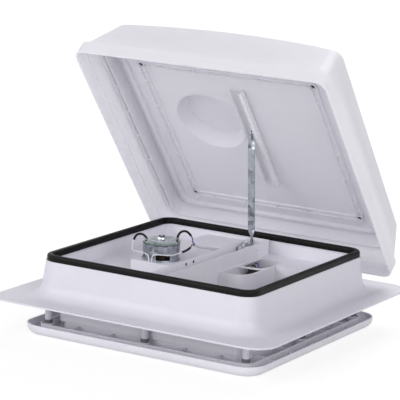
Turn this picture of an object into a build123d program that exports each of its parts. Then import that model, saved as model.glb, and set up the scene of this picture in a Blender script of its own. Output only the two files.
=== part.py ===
from build123d import *
import math
import os

# Caravan roof vent with a hinged lid, a wind-up lift arm and a small fan, all lengths in mm.
# The frame: origin at the centre of the roof plate's underside, X to the right along the
# front edge, Y to the back, where the lid is hinged, and Z up. The lid stands fully open.

# Roof plate and collar
collar_half = 199.0
flange_side = 59.3
flange_back = 22.5
flange_thickness = 3.0
flange_corner = 40.0
seat_recess = 1.0
collar_height = 61.9
collar_wall = 3.0
collar_corner = 28.0
collar_draft = 4.5
cove_radius = 24.0
lip_width = 13.0

# Gasket on the collar
gasket_inset = 1.5
gasket_width = 10.0
gasket_height = 10.4
gasket_round = 4.2
soft_gap = 0.3

# Inner tub: wall below the lip, deck, sleeve through the roof
tub_wall = 3.0
tub_corner = 12.0
deck_top = 38.0
deck_thickness = 3.0
sleeve_inset = 23.0
sleeve_wall = 3.0
sleeve_corner = 14.0
sleeve_low = -40.0
well_floor = 0.0
fit_gap = 0.3

# Lift channel, open at the top
channel_left = -11.0
channel_right = 21.2
channel_above = 2.1
channel_wall = 1.8
channel_floor = 2.2
channel_past_pivot = 45.3
ledge_width = 13.0
ledge_screw_share = 0.5
ledge_thickness = 2.5

# Pocket beside the channel, with the hand drive behind it
pocket_right = 71.0
pocket_front = 8.0
pocket_past_pivot = 14.3
pocket_wall = 3.0
pocket_corner = 35.0
pocket_small_corner = 6.0
drive_box_left = -22.0
drive_box_ahead = 45.7
console_low = -46.0
console_floor = 3.0
bulkhead_inset = 36.0

# Fan duct
motor_x = -68.0
motor_y = -32.0
duct_side = 22.0
duct_wall = 3.0
duct_low = 5.0
strut_width = 6.0
strut_height = 3.0
strut_count = 4
hub_plate_radius = 24.0
hub_plate_bore = 6.0

# Plate that carries the motor
plate_side = 36.0
plate_ahead = 36.5
plate_top = 55.0
plate_thickness = 3.0
plate_skirt = 2.5
plate_corner = 3.0
plate_bore = 12.0

# Motor
can_radius = 31.0
can_height = 29.0
can_wall = 1.2
can_flange = 2.0
can_flange_thickness = 1.5
window_width = 24.0
window_height = 10.0
window_low = 3.0
window_angle = -53.0
window_count = 4
cap_rim = 0.8
cap_rim_height = 2.2
cap_height = 5.0
cap_boss_radius = 8.0
cap_boss_height = 3.0
cap_step_radius = 22.0
cap_plate = 1.5
shaft_radius = 2.5
shaft_fit = 0.08
shaft_above = 4.0
nut_across = 10.0
nut_height = 2.6
armature_radius = 25.0
armature_height = 20.0
armature_low = 3.5
armature_slots = 9
armature_slot_width = 3.0
armature_slot_depth = 5.0

# Fan impeller
impeller_gap = 4.0
impeller_hub_radius = 21.0
impeller_hub_height = 20.0
impeller_hub_wall = 2.5
impeller_low = 8.0
blade_count = 7
blade_root_chord = 30.0
blade_tip_chord = 42.0
blade_root_angle = 42.0
blade_tip_angle = 24.0
blade_thickness = 2.4
blade_camber = 4.0

# Leads of the motor and the flat cable
tab_width = 5.0
tab_depth = 2.4
sleeve_tube_radius = 1.3
lead_radius = 0.75
cable_radius = 2.4
clip_radius = 6.5
clip_height = 3.0
clip_post_radius = 2.6

# Screws of the motor plate, along its right edge
plate_screw_shares = (0.12, 0.225, 0.41)
small_head_radius = 3.4
small_head_height = 2.0
small_shank_radius = 1.5
small_shank_length = 4.5

# Clamp posts, washers and screws
post_inset = 13.0
post_radius = 6.0
post_length = 38.0
post_bore = 2.0
post_bore_depth = 30.0
washer_radius = 7.0
washer_thickness = 6.0
screw_radius = 1.9
screw_head_radius = 3.8
screw_head_height = 2.4
screw_reach = 24.0
bore_gap = 0.1

# Trim on the room side
trim_margin = 22.0
trim_corner = 36.0
trim_top = -43.0
trim_low = -60.6
trim_wall = 2.5
trim_round = 14.0
trim_inner_inset = 8.0
trim_inner_corner = 10.0
trim_inner_top = -38.5
trim_step_inset = 22.0
trim_step_wall = 2.0
trim_step_top = -44.0
trim_rib_share = 0.4
trim_rib_thickness = 2.0
trim_rib_top = -45.0
trim_low_rib_top = -48.0
trim_boss_radius = 8.0
trim_ribs_each_way = 2
screen_ledge_width = 3.5
screen_ledge_thickness = 2.0
screen_ledge_top = -44.0

# Insect screen
screen_frame_width = 7.6
screen_frame_height = 4.5
screen_wire = 0.8
screen_net_low = 1.6
screen_gaps = 12
screen_bar = 1.6
screen_cut_gap = 2.0

# Lid, given closed: its inner panel's screw heads lie in one plane, seal_room over the gasket
seal_room = 5.0
lid_center_y = -7.5
lid_side = 36.0
lid_end = 40.0
lid_corner = 20.0
lid_rim_low = 13.3
lid_band_height = 24.0
lid_band_step = 3.0
lid_wall = 3.0
lid_shoulder_height = 71.5
lid_side_draft = 17.5
lid_end_draft = 25.2
lid_top_shift = 2.3
lid_top_tilt = 1.73
lid_crown = 18.0
lid_edge_round = 9.0
lid_open_angle = 50.73

# Inner panel of the lid
liner_thickness = 2.5
rail_wall = 2.0
rail_gap = 6.0
outer_rail_side = 10.5
outer_rail_ahead = 15.0
outer_rail_behind = 7.3
outer_rail_depth = 27.0
outer_rail_corner = 22.0
inner_rail_inset = 39.0
inner_rail_gap = 8.0
inner_rail_depth = 4.0
rail_corner = 10.0
rung_share = 0.385
rungs_each_way = 2
bead_inset = 2.5
bead_width = 5.0
bump_left = 1.0
bump_ahead = 3.0
bump_open_radius = 64.0
bump_top_radius = 54.0
bump_height = 26.0
bump_wall = 2.5
lid_screw_side = 3.1
lid_screw_end = 1.5
lid_screw_radius = 1.9
lid_screw_head_radius = 4.5
lid_screw_head_height = 2.0
lid_screw_length = 16.0
tower_radius = 6.0

# Track under the panel, in which the arm's roller runs
track_left = -4.0
track_inset = 138.5
track_ahead = 31.5
track_base = 1.5
track_guard = 2.0
track_guard_depth = 7.0
rail_left = 18.2
rail_right = 24.4
rail_sheet = 1.2
roller_drop = 5.0
roller_radius = 2.6
roller_width = 4.0
roller_play = 1.0
track_lift = 0.7
roller_side_gap = 0.4
roller_pin_radius = 1.5

# Lift arm, its gear and the worm
arm_x = 11.4
arm_width = 12.6
arm_thickness = 2.0
arm_share = 1.0402
pivot_share = 0.52412
arm_pivot_z = 53.0
arm_ear_width = 12.0
arm_ear_length = 14.0
arm_twist_length = 22.0
arm_tip_width = 7.4
arm_tip_ear_length = 6.0
twist_steps = 5
pin_radius = 3.0
pin_fit = 0.05
gear_x = -1.0
gear_width = 6.0
gear_module = 1.0
gear_teeth = 22
gear_hub_radius = 6.0
gear_tooth_share = 0.23
gear_tip_share = 0.13
gear_sector_before = 1
gear_sector_after = 6
gear_addendum = 0.85
gear_dedendum = 1.15
worm_pitch_radius = 5.0
worm_length = 15.0
worm_core_sunk = 0.3
worm_thread_share = 0.36
worm_thread_tip_share = 0.22
crank_radius = 3.2
crank_shaft_radius = 4.0
knob_radius = 16.0
knob_height = 11.5
knob_flutes = 8
knob_flute_radius = 3.0
knob_round = 2.0
knob_gap = 0.3
bush_radius = 6.5
bush_flange_radius = 7.8
bush_flange = 1.5
shaft_run_gap = 0.06

# Hinges of the lid
hinge_reach = 8.5
hinge_z = 13.6
hinge_x = 120.0
hinge_pin_radius = 2.0
knuckle_radius = 5.0
knuckle_length = 27.0
hinge_side_gap = 0.4
ear_thickness = 4.0
pad_thickness = 2.0
pad_front = 10.0
pad_back = 12.0
leaf_thickness = 2.0
leaf_height = 18.0
hinge_pin_head = 1.0
hinge_pin_head_radius = 3.4

# Switch and connector in the pocket
switch_x = 46.0
switch_y = 50.0
switch_width = 20.0
switch_depth = 28.0
switch_height = 24.0
switch_bezel = 2.0
rocker_width = 15.0
rocker_depth = 22.0
rocker_height = 4.0
rocker_tilt = 8.0
rocker_gap = 0.4
terminal_width = 5.0
terminal_thickness = 1.0
terminal_height = 7.0
strap_width = 5.0
strap_height = 3.0
strap_left_inset = 71.0
strap_right_inset = 53.0
connector_width = 24.0
connector_depth = 13.0
connector_height = 14.0

# Sizes that follow from the ones above: the roof plate, lid and trim from the collar,
# and the arm, channel, pocket and track from the hinge behind it
channel_top = collar_height + channel_above
lid_plane = collar_height + gasket_height + seal_room
liner_low = lid_plane + lid_screw_head_height
gasket_half = collar_half - gasket_inset
gasket_corner = collar_corner - gasket_inset
sleeve_half = collar_half - sleeve_inset
post_offset = collar_half - post_inset
lid_half_x = collar_half + lid_side
lid_half_y = collar_half + lid_end
hinge_y = lid_center_y + lid_half_y + hinge_reach
flange_width = 2 * (collar_half + flange_side)
flange_depth = 2 * (hinge_y + flange_back)
trim_half = collar_half + trim_margin
trim_inner_half = sleeve_half - trim_inner_inset
trim_step_half = trim_half - trim_step_inset
trim_rib_pitch = trim_inner_half * trim_rib_share
outer_rail_half = collar_half + outer_rail_side
outer_rail_front = collar_half + outer_rail_ahead
outer_rail_back = collar_half + outer_rail_behind
inner_rail_half = collar_half - inner_rail_inset
rung_pitch = inner_rail_half * rung_share
bead_half = gasket_half - bead_inset
lid_screw_x = inner_rail_half + lid_screw_side
lid_screw_y = inner_rail_half + lid_screw_end
bump_x = motor_x - bump_left
bump_y = motor_y - bump_ahead
plate_left = motor_x - plate_side
plate_front = motor_y - plate_ahead
duct_radius = sleeve_half - sleeve_wall + motor_x - duct_side
impeller_radius = duct_radius - impeller_gap
arm_length = collar_half * arm_share
arm_pivot_y = hinge_y - collar_half * pivot_share
channel_back = arm_pivot_y + channel_past_pivot
pocket_back = arm_pivot_y + pocket_past_pivot
drive_box_front = arm_pivot_y - drive_box_ahead
bulkhead_front = pocket_back - bulkhead_inset
strap_left_y = pocket_back - strap_left_inset
strap_right_y = pocket_back - strap_right_inset
track_back = hinge_y - track_inset
track_length = track_back + inner_rail_half - track_ahead
worm_y = arm_pivot_y - gear_module * gear_teeth / 2 - worm_pitch_radius
roller_line = lid_plane - roller_drop - hinge_z


def block(x_low, x_high, y_low, y_high, z_low, z_high):
    """A plain box between two corners."""
    size = (x_high - x_low, y_high - y_low, z_high - z_low)
    return Pos(x_low, y_low, z_low) * Box(*size, align=(Align.MIN, Align.MIN, Align.MIN))


def slab(half_x, half_y, corner, z_low, z_high, center_y=0):
    """A plate with rounded corners."""
    outline = RectangleRounded(2 * half_x, 2 * half_y, corner)
    return Pos(0, center_y, z_low) * extrude(outline, z_high - z_low)


def within(corner, wall):
    """Corner radius inside a wall."""
    return max(corner - wall, wall / 2)


def ring(half_x, half_y, corner, wall, z_low, z_high, center_y=0):
    """A square ring: a slab with the middle taken out."""
    inside = slab(half_x - wall, half_y - wall, within(corner, wall), z_low, z_high, center_y)
    return slab(half_x, half_y, corner, z_low, z_high, center_y) - inside


def rod(x, y, z_low, z_high, radius):
    """A cylinder that stands upright."""
    bottom = (Align.CENTER, Align.CENTER, Align.MIN)
    return Pos(x, y, z_low) * Cylinder(radius, z_high - z_low, align=bottom)


def cross_rod(x_low, x_high, y, z, radius):
    """A cylinder along X."""
    bottom = (Align.CENTER, Align.CENTER, Align.MIN)
    return Pos(x_low, y, z) * Rot(0, 90, 0) * Cylinder(radius, x_high - x_low, align=bottom)


def post_places():
    """The eight clamp posts: corners and middles of a square."""
    steps = (-1, 0, 1)
    return [(i * post_offset, j * post_offset) for i in steps for j in steps if i or j]


def square_path(half, corner, height):
    """A closed path along a square with rounded corners, from the middle of its front side."""
    run = half - corner
    arcs = [
        CenterArc((run, -run, height), corner, -90, 90),
        CenterArc((run, run, height), corner, 0, 90),
        CenterArc((-run, run, height), corner, 90, 90),
        CenterArc((-run, -run, height), corner, 180, 90),
    ]
    start = Vector(0, -half, height)
    edges = [Line(start, arcs[0] @ 0)]
    for arc, following in zip(arcs, arcs[1:] + [None]):
        edges.append(arc)
        edges.append(Line(arc @ 1, following @ 0 if following else start))
    return Wire(edges)


def base_flange():
    """Roof plate, recessed underneath within the roof's opening, collar with its cove, and lip."""
    hole = slab(sleeve_half + fit_gap, sleeve_half + fit_gap, sleeve_corner, 0, flange_thickness)
    plate = slab(flange_width / 2, flange_depth / 2, flange_corner, 0, flange_thickness) - hole
    plate -= slab(collar_half, collar_half, collar_corner, 0, seat_recess)
    foot = collar_draft
    cove_high = flange_thickness + cove_radius
    lip_low = collar_height - collar_wall
    centre = (foot + cove_radius, cove_high)
    outer = CenterArc(centre, cove_radius, 180, 90)
    inner = CenterArc(centre, cove_radius + collar_wall, 180, 90)
    outline = [
        Line((0, collar_height), outer @ 0),
        outer,
        Line(outer @ 1, inner @ 1),
        inner,
        Line(inner @ 0, (-collar_wall, lip_low)),
        Line((-collar_wall, lip_low), (-lip_width, lip_low)),
        Line((-lip_width, lip_low), (-lip_width, collar_height)),
        Line((-lip_width, collar_height), (0, collar_height)),
    ]
    section = Plane((0, -collar_half, 0), x_dir=(0, -1, 0), z_dir=(-1, 0, 0)) * make_face(outline)
    return plate + sweep(section, path=square_path(collar_half, collar_corner, 0))


def collar_gasket():
    """Rubber seal with a rounded top."""
    top = collar_height + gasket_height
    seal = ring(gasket_half, gasket_half, gasket_corner, gasket_width, collar_height, top)
    return fillet(seal.edges().group_by(Axis.Z)[-1], gasket_round)


def well_region(z_low, z_high):
    """The open well in the front right quarter, in front of the bulkhead."""
    reach = sleeve_half - sleeve_wall
    corner_back = pocket_front + pocket_corner
    front = block(channel_right, reach, -reach, corner_back, z_low, z_high)
    side = block(pocket_right, reach, corner_back, bulkhead_front, z_low, z_high)
    return front + side


def console_outline(grow):
    """Plan of the pocket and the drive box behind it, grown by a clearance."""
    pocket = block(
        channel_right - grow, pocket_right + grow, pocket_front - grow, pocket_back + grow, 0, deck_top
    )
    return fillet(pocket.edges().filter_by(Axis.Z).sort_by(Axis.Y)[:2].sort_by(Axis.X)[-1], pocket_corner)


def inner_tub():
    """Wall under the lip, deck, sleeve through the roof and the walls of the well."""
    half = collar_half - lip_width + tub_wall
    deck_low = deck_top - deck_thickness
    wall = ring(half, half, tub_corner, tub_wall, deck_low, collar_height - collar_wall)
    deck = slab(half, half, tub_corner, deck_low, deck_top)
    deck -= well_region(deck_low, deck_top)
    deck -= console_outline(fit_gap)
    under_plate = block(
        plate_left + plate_skirt, channel_right, plate_front + plate_skirt, half, deck_low, deck_top
    )
    deck -= rod(motor_x, motor_y, deck_low, deck_top, duct_radius) & under_plate
    deck -= rod(gear_x, worm_y, deck_low, deck_top, bush_radius + bore_gap)
    sleeve = ring(sleeve_half, sleeve_half, sleeve_corner, sleeve_wall, sleeve_low, deck_low)
    reach = sleeve_half - sleeve_wall
    inside_left = channel_right - tub_wall
    partition = block(inside_left, channel_right, -reach, pocket_front - fit_gap, well_floor, deck_low)
    bulkhead_back = bulkhead_front + tub_wall
    bulkhead = block(
        pocket_right + fit_gap, reach, bulkhead_front, bulkhead_back, well_floor, deck_low
    )
    return wall + deck + sleeve + partition + bulkhead


def control_console():
    """Open-topped pocket with a rounded front corner, and the drive box under the channel."""
    under_deck = deck_top - deck_thickness
    pocket = block(channel_right, pocket_right, pocket_front, pocket_back, console_low, deck_top)
    pocket = fillet(pocket.edges().filter_by(Axis.Z).sort_by(Axis.Y)[:2].sort_by(Axis.X)[-1], pocket_corner)
    inner = block(
        channel_right + pocket_wall,
        pocket_right - pocket_wall,
        pocket_front + pocket_wall,
        pocket_back - pocket_wall,
        console_low + console_floor,
        deck_top,
    )
    inner_corner = inner.edges().filter_by(Axis.Z).sort_by(Axis.Y)[:2].sort_by(Axis.X)[-1]
    inner = fillet(inner_corner, pocket_corner - pocket_wall)
    drive = block(drive_box_left, channel_right, drive_box_front, pocket_back, console_low, under_deck)
    drive_corners = drive.edges().filter_by(Axis.Z).sort_by(Axis.X)[:2]
    drive = fillet(drive_corners, pocket_small_corner)
    drive_inner = block(
        drive_box_left + pocket_wall,
        channel_right + pocket_wall,
        drive_box_front + pocket_wall,
        pocket_back - pocket_wall,
        console_low + console_floor,
        under_deck,
    )
    shell = pocket + drive - inner - drive_inner
    boss_top = console_low + 2 * console_floor
    shell += rod(gear_x, worm_y, console_low, boss_top, crank_shaft_radius + pocket_wall)
    shell -= rod(gear_x, worm_y, console_low, boss_top, crank_shaft_radius + shaft_run_gap)
    half_x = switch_width / 2 + bore_gap
    half_y = switch_depth / 2 + bore_gap
    cut = block(
        switch_x - half_x, switch_x + half_x, switch_y - half_y, switch_y + half_y,
        console_low, console_low + console_floor,
    )
    return shell - cut


def lift_channel():
    """Open-topped channel from front to back with a ledge for the motor plate."""
    front = -(collar_half - lip_width) + fit_gap
    body = block(channel_left, channel_right, front, channel_back, deck_top, channel_top)
    body -= block(
        channel_left + channel_wall,
        channel_right - channel_wall,
        front + channel_wall,
        channel_back - channel_wall,
        deck_top + channel_floor,
        channel_top,
    )
    shelf = plate_top - plate_thickness
    body += block(
        channel_left - ledge_width, channel_left, plate_front, channel_back, shelf - ledge_thickness, shelf
    )
    floor_top = deck_top + channel_floor
    body -= rod(gear_x, worm_y, deck_top, floor_top, bush_radius + bore_gap)
    body -= cross_rod(channel_left, channel_right, arm_pivot_y, arm_pivot_z, pin_radius + pin_fit)
    return body


def fan_shroud():
    """Duct ring under the deck, with struts and a hub that stands in the deck's hole."""
    deck_low = deck_top - deck_thickness
    duct = rod(motor_x, motor_y, duct_low, deck_low, duct_radius + duct_wall)
    duct -= rod(motor_x, motor_y, duct_low, deck_low, duct_radius)
    low = deck_low - strut_height
    hub = rod(motor_x, motor_y, low, deck_top, hub_plate_radius)
    for index in range(strut_count):
        turn = Rot(0, 0, (index + 0.5) * 360 / strut_count)
        reach = duct_radius + duct_wall / 2
        bar = block(0, reach, -strut_width / 2, strut_width / 2, low, deck_low)
        hub += Pos(motor_x, motor_y, 0) * turn * bar
    hub -= rod(motor_x, motor_y, low, deck_top, hub_plate_bore)
    return duct + hub


def motor_plate():
    """Plate over the fan, from the channel's ledge to the left, open there to let the air out."""
    right = channel_left - fit_gap
    back = collar_half - lip_width - fit_gap
    top = block(plate_left, right, plate_front, back, plate_top - plate_thickness, plate_top)
    under = plate_top - plate_thickness
    right_skirt = channel_left - ledge_width - fit_gap
    top += block(plate_left, right_skirt, plate_front, plate_front + plate_skirt, deck_top, under)
    outlet_back = motor_y + duct_radius
    top += block(plate_left, plate_left + plate_skirt, outlet_back, back, deck_top, under)
    top -= rod(motor_x, motor_y, under, plate_top, plate_bore)
    for x, y in plate_screw_places():
        top -= rod(x, y, under, plate_top, small_shank_radius + bore_gap)
    return top


def plate_screw_places():
    """Screws along the plate's right edge, over the channel's ledge."""
    x = channel_left - ledge_width * ledge_screw_share
    length = collar_half - lip_width - fit_gap - plate_front
    return [(x, plate_front + share * length) for share in plate_screw_shares]


def plate_screws():
    """Dark screws that hold the motor plate, with domed heads."""
    screws = []
    for x, y in plate_screw_places():
        head = rod(x, y, plate_top, plate_top + small_head_height, small_head_radius)
        head = fillet(head.edges().sort_by(Axis.Z)[-1], small_head_height * 0.6)
        shank = rod(x, y, plate_top - plate_thickness, plate_top, small_shank_radius)
        screws.append(head + shank)
    return Compound(screws)


def motor_can():
    """Galvanised can with a foot flange and four windows."""
    top = plate_top + can_height
    can = rod(motor_x, motor_y, plate_top, top, can_radius)
    can += rod(motor_x, motor_y, plate_top, plate_top + can_flange_thickness, can_radius + can_flange)
    can -= rod(motor_x, motor_y, plate_top + can_flange_thickness, top, can_radius - can_wall)
    can -= rod(motor_x, motor_y, plate_top, plate_top + can_flange_thickness, shaft_radius + shaft_fit)
    low = plate_top + window_low
    for index in range(window_count):
        turn = Rot(0, 0, window_angle + index * 360 / window_count)
        window = block(
            armature_radius, 2 * can_radius, -window_width / 2, window_width / 2, low, low + window_height
        )
        can -= Pos(motor_x, motor_y, 0) * turn * window
    return can


def motor_cap():
    """Domed end cap with a rolled rim, a step and a bearing boss."""
    low = plate_top + can_height
    rim = can_radius + cap_rim
    outline = Polyline(
        (shaft_radius + shaft_fit, 0),
        (rim, 0),
        (rim, cap_rim_height),
        (can_radius - cap_rim, cap_rim_height + cap_rim),
        (cap_step_radius, cap_height - cap_rim),
        (cap_step_radius - cap_rim, cap_height),
        (cap_boss_radius + cap_rim, cap_height + cap_rim),
        (cap_boss_radius, cap_height + cap_boss_height),
        (shaft_radius + shaft_fit, cap_height + cap_boss_height),
        close=True,
    )
    cap = revolve(Plane.XZ * make_face(outline), Axis.Z)
    hollow = rod(0, 0, 0, cap_plate, can_radius - 2 * can_wall)
    return Pos(motor_x, motor_y, low) * (cap - hollow)


def shaft_top():
    """Height of the shaft's upper end."""
    return plate_top + can_height + cap_height + cap_boss_height + shaft_above


def motor_shaft():
    """Shaft through the can, from the impeller to above the cap."""
    shaft = rod(motor_x, motor_y, impeller_low - impeller_hub_wall, shaft_top(), shaft_radius)
    return chamfer(shaft.edges().group_by(Axis.Z)[-1], shaft_radius / 5)


def shaft_nut():
    """Hexagon nut on the shaft above the cap."""
    low = plate_top + can_height + cap_height + cap_boss_height + shaft_fit
    nut = extrude(RegularPolygon(nut_across / 2, 6, major_radius=False), nut_height)
    return Pos(motor_x, motor_y, low) * nut - rod(motor_x, motor_y, low, low + nut_height, shaft_radius)


def motor_armature():
    """Slotted core inside the can, on the shaft."""
    low = plate_top + armature_low
    core = rod(motor_x, motor_y, low, low + armature_height, armature_radius)
    depth = armature_radius - armature_slot_depth
    for index in range(armature_slots):
        slot = block(
            depth, 2 * armature_radius, -armature_slot_width / 2, armature_slot_width / 2,
            low, low + armature_height,
        )
        core -= Pos(motor_x, motor_y, 0) * Rot(0, 0, index * 360 / armature_slots) * slot
    return core - rod(motor_x, motor_y, low, low + armature_height, shaft_radius)


def blade_section(radius, chord, angle):
    """Cambered lens section of a blade at one radius."""
    low = (-chord / 2, 0)
    high = (chord / 2, 0)
    under = ThreePointArc(low, (0, blade_camber), high)
    over = ThreePointArc(high, (0, blade_camber + blade_thickness), low)
    middle = impeller_low + impeller_hub_height / 2
    place = Plane((radius, 0, middle), x_dir=(0, 1, 0), z_dir=(1, 0, 0))
    return place * Rot(0, 0, angle) * make_face([under, over])


def fan_impeller():
    """Axial impeller: a cup hub with twisted, cambered blades."""
    top = impeller_low + impeller_hub_height
    hub = rod(0, 0, impeller_low, top, impeller_hub_radius)
    hub -= rod(0, 0, impeller_low, top - impeller_hub_wall, impeller_hub_radius - impeller_hub_wall)
    hub += rod(0, 0, impeller_low, top, shaft_radius + impeller_hub_wall)
    root = impeller_hub_radius - impeller_hub_wall / 2
    blade = loft(
        [
            blade_section(root, blade_root_chord, blade_root_angle),
            blade_section(impeller_radius, blade_tip_chord, blade_tip_angle),
        ],
        ruled=True,
    )
    for index in range(blade_count):
        hub += Rot(0, 0, index * 360 / blade_count) * blade
    hub -= rod(0, 0, impeller_low, top, shaft_radius)
    return Pos(motor_x, motor_y, 0) * hub


def clamp_posts():
    """Eight posts in the roof plate's recess, each with a blind bore."""
    posts = []
    for x, y in post_places():
        post = rod(x, y, -post_length, seat_recess, post_radius)
        posts.append(post - rod(x, y, -post_length, -post_length + post_bore_depth, post_bore))
    return Compound(posts)


def clamp_washers():
    """Rubber washers between the posts and the trim's bosses."""
    low = -post_length - washer_thickness
    return Compound(
        [
            rod(x, y, low, -post_length, washer_radius) - rod(x, y, low, -post_length, post_bore + bore_gap)
            for x, y in post_places()
        ]
    )


def clamp_screws():
    """Screws from the room side, through the trim, into the posts."""
    screws = []
    seat = trim_low + screw_head_height
    for x, y in post_places():
        head = rod(x, y, seat - screw_head_height + fit_gap, seat, screw_head_radius)
        shank = rod(x, y, seat, -post_length + screw_reach, screw_radius)
        screws.append(head + shank)
    return Compound(screws)


def trim_rib(side, offset, z_high, half_low, half_high):
    """One cross rib of the trim on one of its four sides."""
    low = trim_low + trim_wall
    half = trim_rib_thickness / 2
    return Rot(0, 0, side * 90) * block(offset - half, offset + half, half_low, half_high, low, z_high)


def interior_trim():
    """Room-side frame: an open channel with ribs, bosses and a ledge for the screen."""
    body = slab(trim_half, trim_half, trim_corner, trim_low, trim_top)
    body = fillet(body.edges().group_by(Axis.Z)[0], trim_round)
    outside = body
    floor = trim_low + trim_wall
    hollow = slab(trim_half - trim_wall, trim_half - trim_wall, trim_corner - trim_wall, floor, trim_top)
    body -= fillet(hollow.edges().group_by(Axis.Z)[0], trim_round - trim_wall)
    hole = trim_inner_half
    inner_half = trim_inner_half + trim_wall
    inner_corner = trim_inner_corner + trim_wall
    body += ring(inner_half, inner_half, inner_corner, trim_wall, trim_low, trim_inner_top)
    body -= slab(hole, hole, trim_inner_corner, trim_low, trim_top)
    step_corner = trim_corner - (trim_half - trim_step_half)
    body += ring(trim_step_half, trim_step_half, step_corner, trim_step_wall, floor, trim_step_top)
    body += ring(
        trim_inner_half,
        trim_inner_half,
        trim_inner_corner,
        screen_ledge_width,
        screen_ledge_top - screen_ledge_thickness,
        screen_ledge_top,
    )
    inner = trim_inner_half + trim_wall / 2
    middle = trim_step_half - trim_step_wall / 2
    outer = trim_half - trim_wall / 2
    for side in range(4):
        for step in range(-trim_ribs_each_way, trim_ribs_each_way + 1):
            offset = step * trim_rib_pitch
            body += trim_rib(side, offset, trim_rib_top, inner, middle)
            body += trim_rib(side, offset, trim_low_rib_top, middle, outer) & outside
    boss_top = -post_length - washer_thickness
    for x, y in post_places():
        body += rod(x, y, floor, boss_top, trim_boss_radius)
    for x, y in post_places():
        body -= rod(x, y, trim_low, boss_top, screw_radius + bore_gap)
        body -= rod(x, y, trim_low, trim_low + screw_head_height, screw_head_radius + bore_gap)
    return body


def screen_cut(grow, high, z_low, z_high):
    """Room for the control console in the screen, up to a line at the back."""
    low = pocket_front - grow
    pocket = block(channel_right - grow, pocket_right + grow, low, high, z_low, z_high)
    drive = block(
        drive_box_left - grow, channel_right, drive_box_front - grow, high, z_low, z_high
    )
    return pocket + drive


def screen_frame():
    """Removable frame that lies on the trim's ledge."""
    half = trim_inner_half - fit_gap
    low = screen_ledge_top
    high = low + screen_frame_height
    corner = trim_inner_corner - fit_gap
    frame = ring(half, half, corner, screen_frame_width, low, high)
    edge = screen_frame_width / 2
    cut = screen_cut(screen_cut_gap, pocket_back + screen_cut_gap, low, high)
    return frame + (screen_cut(screen_cut_gap + edge, half - edge, low, high) - cut)


def insect_screen():
    """Net of wires that cross in two layers, cut out round the console."""
    low = screen_ledge_top + screen_net_low
    middle = low + screen_wire
    high = middle + screen_wire
    half = trim_inner_half - fit_gap - screen_frame_width
    pitch = 2 * half / screen_gaps
    bar = screen_bar / 2
    cut = screen_cut(screen_cut_gap + screen_frame_width / 2, half, low, high)
    wires = []
    for index in range(1, screen_gaps):
        at = index * pitch - half
        across = block(-half, half, at - bar, at + bar, low, middle)
        along = block(at - bar, at + bar, -half, half, middle, high)
        wires.extend((across - cut).solids())
        wires.extend((along - cut).solids())
    return Compound(wires)


def tube(points, radius):
    """A round cord along straight runs joined by arcs as large as the runs allow."""
    places = [Vector(*point) for point in points]
    runs = [second - first for first, second in zip(places, places[1:])]
    radii = []
    for before, after in zip(runs, runs[1:]):
        turn = math.radians(before.get_angle(after))
        radii.append(0.45 * min(before.length, after.length) / math.tan(turn / 2))
    path = FilletPolyline(*places, radius=radii)
    start = Plane(path @ 0, z_dir=path % 0)
    cord = sweep(start * Circle(radius), path=path)
    expected = math.pi * radius**2 * path.length
    print("cord", round(path.length, 1), "mm, radii", [round(r, 1) for r in radii],
          "volume share", round(cord.volume / expected, 3))
    return cord


# Routes of the motor's leads, chosen by hand
left_sleeve_route = [(-89, -46, 89), (-92.7, -47.3, 94.3), (-100.5, -49.6, 96), (-107.5, -51.6, 92),
                     (-109.7, -52.4, 84.6)]
left_white_route = [(-109.7, -52.4, 84.6), (-112.6, -53.455, 74.845), (-109, -56.5, 66.5),
                    (-97, -60.5, 68.5), (-83, -65.4, 68.5), (-70.6, -66.6, 66.8), (-70.6, -66.6, 55)]
right_sleeve_route = [(-52, -8, 89.5), (-48.5, -9, 97.5), (-41.5, -7, 102), (-35, -2.5, 100.5),
                      (-31.5, 1, 94)]
blue_route = [(-31.5, 1, 94), (-29.05, 3.45, 89.45), (-29.25, 3.8, 81.08), (-28.31, 9.09, 78.4)]
red_route = [(-28.49, 8.11, 76.4), (-29.57, 2, 79.49), (-26.2, -4.7, 77.1), (-26.1, -9.5, 75.5)]
low_sleeve_route = [(-26.1, -9.5, 75.5), (-25.93, -17.66, 72.78), (-31.3, -26, 70.2)]
front_white_route = [(-31.3, -26, 70.2), (-35.06, -31.84, 68.39), (-38, -48, 67), (-47.5, -60.8, 69),
                     (-57, -67.3, 69.5), (-65.2, -66.6, 66.5), (-65.2, -66.6, 55)]
cable_route = [(-28.4, 8.6, 77.4), (-27, 16.5, 73.4), (-24.5, 31, 69), (-25, 50, 65.5), (-24, 68, 60.5),
               (-22, 84, 57.6)]


def black_sleeves():
    """Black sleeving over the leads where they leave the motor."""
    routes = (left_sleeve_route, right_sleeve_route, low_sleeve_route)
    return Compound([tube(route, sleeve_tube_radius) for route in routes])


def white_leads():
    """The two white leads down the front of the can."""
    return Compound([tube(left_white_route, lead_radius), tube(front_white_route, lead_radius)])


def blue_lead():
    """Blue lead from the upper sleeve to the cable."""
    return tube(blue_route, lead_radius)


def red_lead():
    """Red lead from the cable to the lower sleeve."""
    return tube(red_route, lead_radius)


def grey_cable():
    """Grey cable from the leads' joint to its clip on the plate."""
    return tube(cable_route, cable_radius)


def cable_clip():
    """Round clip with a post that holds the cable's end on the plate."""
    x, y, z = cable_route[-1]
    middle = y + clip_radius + fit_gap
    base = rod(x, middle, plate_top, plate_top + clip_height, clip_radius)
    post = rod(x, middle, plate_top, plate_top + 2 * clip_height, clip_post_radius)
    return base + post


def motor_terminals():
    """Tabs on the can where the sleeves and the white lead end."""
    top = plate_top + can_height + cap_plate
    places = (left_sleeve_route[0], right_sleeve_route[0])
    taken = motor_cap() + black_sleeves()
    tabs = []
    for x, y, z in places:
        left, right = x - tab_depth / 2, x + tab_depth / 2
        tabs.append(block(left, right, y - tab_width / 2, y + tab_width / 2, top, z) - taken)
    return Compound(tabs)


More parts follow.
